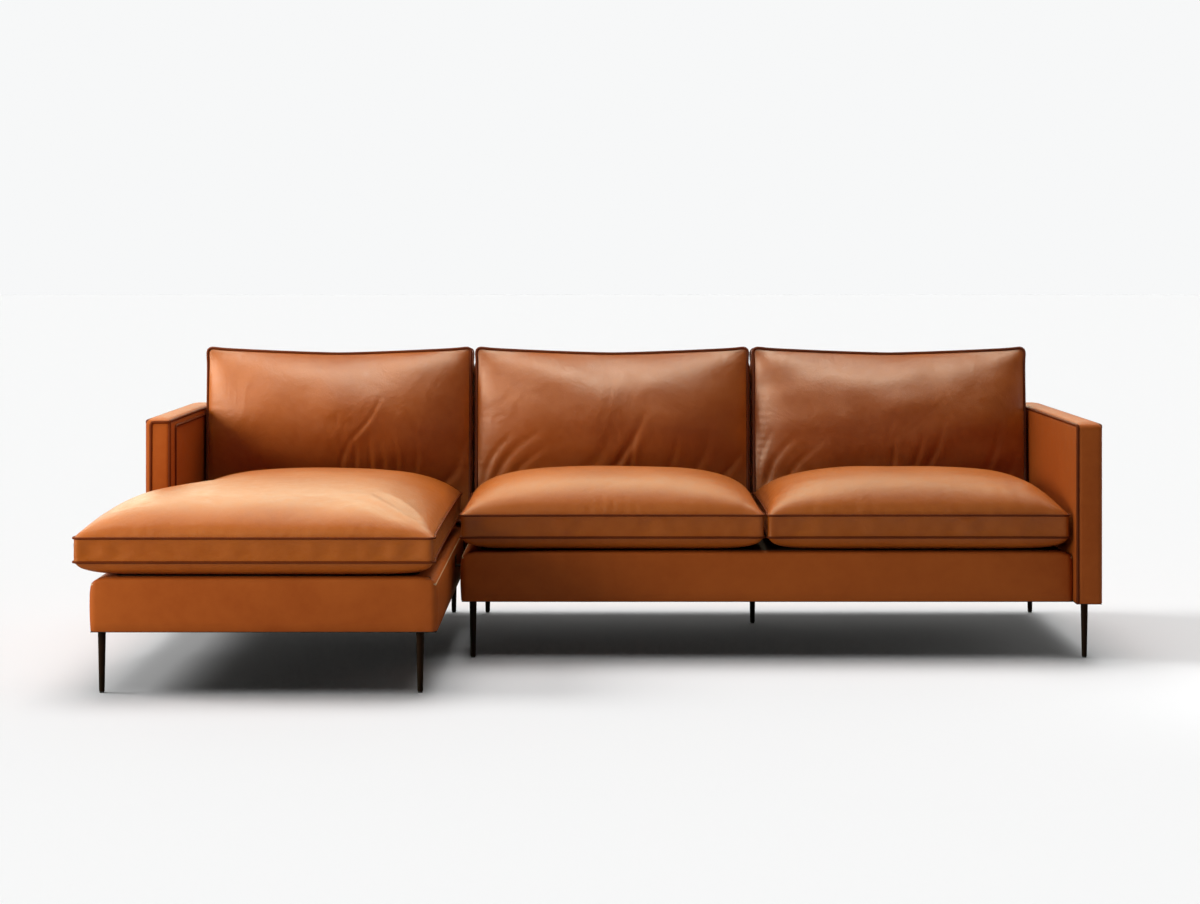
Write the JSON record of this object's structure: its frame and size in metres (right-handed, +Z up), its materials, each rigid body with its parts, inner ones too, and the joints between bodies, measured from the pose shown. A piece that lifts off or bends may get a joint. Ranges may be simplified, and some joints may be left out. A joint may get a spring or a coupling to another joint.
{
  "type": "corner sofa",
  "caption": "L-shaped leather chaise sofa with loose boxed seat and back cushions, slim upholstered arms and thin tapered metal legs.",
  "frame": {"origin": "centre of the bounding box's footprint, on the floor under the glides", "axes": "+X across the sofa to the sitter-facing viewer's right (from the chaise to the long arm), +Y towards the back, +Z up"},
  "size_m": [2.6812, 1.329, 0.8237],
  "materials": {
    "leather": "tan full-grain leather, satin sheen, fine grain",
    "piping_leather": "darker red-brown leather piping",
    "foam": "cream upholstery foam with fibre wrap, matt",
    "timber": "planed softwood",
    "webbing": "black elastic webbing",
    "dust_cloth": "black non-woven dust cloth, matt",
    "leg_steel": "dark bronze-black powder coat, satin",
    "zinc_steel": "zinc-plated steel",
    "glide_plastic": "black nylon"
  },
  "bodies": {
    "seat_unit": {"seat_front_rail": "timber", "seat_rear_rail": "timber", "seat_cross_rails": "timber", "seat_webbing": "webbing", "seat_deck_pad": "foam", "seat_base_cover": "leather", "seat_dust_cover": "dust_cloth", "seat_legs": "leg_steel", "seat_leg_plates": "zinc_steel", "seat_leg_screws": "zinc_steel", "seat_glides": "glide_plastic", "right_arm_frame": "timber", "right_arm_foam": "foam", "right_arm_cover": "leather", "right_arm_welt": "piping_leather", "right_arm_bolts": "zinc_steel", "seat_back_frame": "timber", "seat_back_foam": "foam", "seat_back_cover": "leather", "connector_sockets": "zinc_steel"},
    "chaise_unit": {"chaise_front_rail": "timber", "chaise_rear_rail": "timber", "chaise_side_rails": "timber", "chaise_cross_rails": "timber", "chaise_webbing": "webbing", "chaise_deck_pad": "foam", "chaise_base_cover": "leather", "chaise_dust_cover": "dust_cloth", "chaise_legs": "leg_steel", "chaise_leg_plates": "zinc_steel", "chaise_leg_screws": "zinc_steel", "chaise_glides": "glide_plastic", "left_arm_frame": "timber", "left_arm_foam": "foam", "left_arm_cover": "leather", "left_arm_welt": "piping_leather", "left_arm_bolts": "zinc_steel", "chaise_back_frame": "timber", "chaise_back_foam": "foam", "chaise_back_cover": "leather", "connector_tongues": "zinc_steel"},
    "chaise_seat_cushion": {"chaise_seat_cover": "leather", "chaise_seat_core": "foam", "chaise_seat_welt": "piping_leather"},
    "middle_seat_cushion": {"middle_seat_cover": "leather", "middle_seat_core": "foam", "middle_seat_welt": "piping_leather"},
    "right_seat_cushion": {"right_seat_cover": "leather", "right_seat_core": "foam", "right_seat_welt": "piping_leather"},
    "left_back_cushion": {"left_back_cover": "leather", "left_back_core": "foam", "left_back_welt": "piping_leather"},
    "middle_back_cushion": {"middle_back_cover": "leather", "middle_back_core": "foam", "middle_back_welt": "piping_leather"},
    "right_back_cushion": {"right_back_cover": "leather", "right_back_core": "foam", "right_back_welt": "piping_leather"}
  },
  "joints": [
    {"name": "chaise_unhook", "type": "slide", "parent": "seat_unit", "child": "chaise_unit", "axis": [0, 0, 1], "range_m": [0, 0.06]},
    {"name": "chaise_seat_lift", "type": "slide", "parent": "chaise_unit", "child": "chaise_seat_cushion", "axis": [0, 0, 1], "range_m": [0, 0.4]},
    {"name": "left_back_lift", "type": "slide", "parent": "chaise_unit", "child": "left_back_cushion", "axis": [0, 0, 1], "range_m": [0, 0.4]},
    {"name": "middle_seat_lift", "type": "slide", "parent": "seat_unit", "child": "middle_seat_cushion", "axis": [0, 0, 1], "range_m": [0, 0.4]},
    {"name": "right_seat_lift", "type": "slide", "parent": "seat_unit", "child": "right_seat_cushion", "axis": [0, 0, 1], "range_m": [0, 0.4]},
    {"name": "middle_back_lift", "type": "slide", "parent": "seat_unit", "child": "middle_back_cushion", "axis": [0, 0, 1], "range_m": [0, 0.4]},
    {"name": "right_back_lift", "type": "slide", "parent": "seat_unit", "child": "right_back_cushion", "axis": [0, 0, 1], "range_m": [0, 0.4]}
  ]
}
